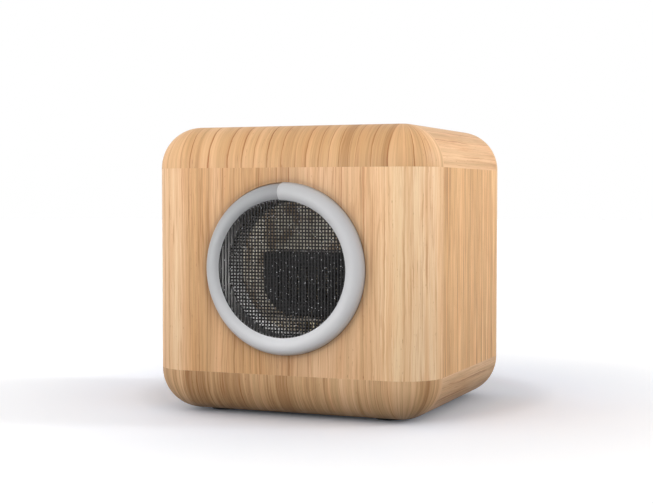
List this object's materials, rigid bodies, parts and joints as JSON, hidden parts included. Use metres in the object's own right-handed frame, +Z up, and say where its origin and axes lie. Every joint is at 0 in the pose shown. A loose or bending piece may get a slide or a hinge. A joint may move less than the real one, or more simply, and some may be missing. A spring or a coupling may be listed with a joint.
{
  "type": "carbon dioxide monitor",
  "caption": "Desk carbon dioxide monitor: a rounded oak cube with a ring light around a fine wire grille on its front, and a power inlet and push button at the back.",
  "frame": {"origin": "on the surface it stands on, under the middle of the bounding box", "axes": "+X to the right seen from the front, the front with the ring light faces -Y, +Z up"},
  "size_m": [0.1044, 0.1014, 0.101],
  "materials": {
    "oak": "satin oiled oak",
    "diffuser": "translucent satin light guide",
    "black_wire": "black coated wire",
    "grey_plastic": "light grey moulded",
    "black_plastic": "black moulded",
    "white_board": "white circuit board lacquer",
    "gold": "gold plated",
    "brass": "turned",
    "steel": "plated steel",
    "lead_cover": "matte jacket",
    "rubber": "matte rubber"
  },
  "bodies": {
    "case": {"back_panel": "oak", "board_plug": "black_plastic", "board_screw_1": "steel", "board_screw_2": "steel", "board_screw_3": "steel", "board_screw_4": "steel", "bottom_panel": "oak", "case_screw_1": "steel", "case_screw_2": "steel", "case_screw_3": "steel", "case_screw_4": "steel", "co2_sensor": "gold", "corner_block_back_left": "oak", "corner_block_back_right": "oak", "corner_block_front_left": "oak", "corner_block_front_right": "oak", "foot_1": "rubber", "foot_2": "rubber", "foot_3": "rubber", "foot_4": "rubber", "front_grille": "black_wire", "front_panel": "oak", "grille_spacer": "grey_plastic", "humidity_sensor": "black_plastic", "led_board": "white_board", "led_board_screw_1": "steel", "led_board_screw_2": "steel", "led_board_screw_3": "steel", "led_lead": "lead_cover", "led_plug": "black_plastic", "left_side_panel": "oak", "light_ring": "diffuser", "main_board": "white_board", "processor_module": "steel", "rear_grille": "black_wire", "rear_sleeve": "grey_plastic", "right_side_panel": "oak", "sensor_board": "white_board", "sensor_header": "black_plastic", "sensor_housing": "black_plastic", "standoff_1": "brass", "standoff_2": "brass", "standoff_3": "brass", "standoff_4": "brass", "tact_switch": "steel", "top_panel": "oak", "usb_c_receptacle": "steel"},
    "button": {"push_button": "grey_plastic", "switch_plunger": "black_plastic"}
  },
  "joints": [
    {"name": "button_press", "type": "slide", "parent": "case", "child": "button", "axis": [0, -1, 0], "range_m": [0, 0.0006], "stiffness_N_per_m": 1000}
  ]
}
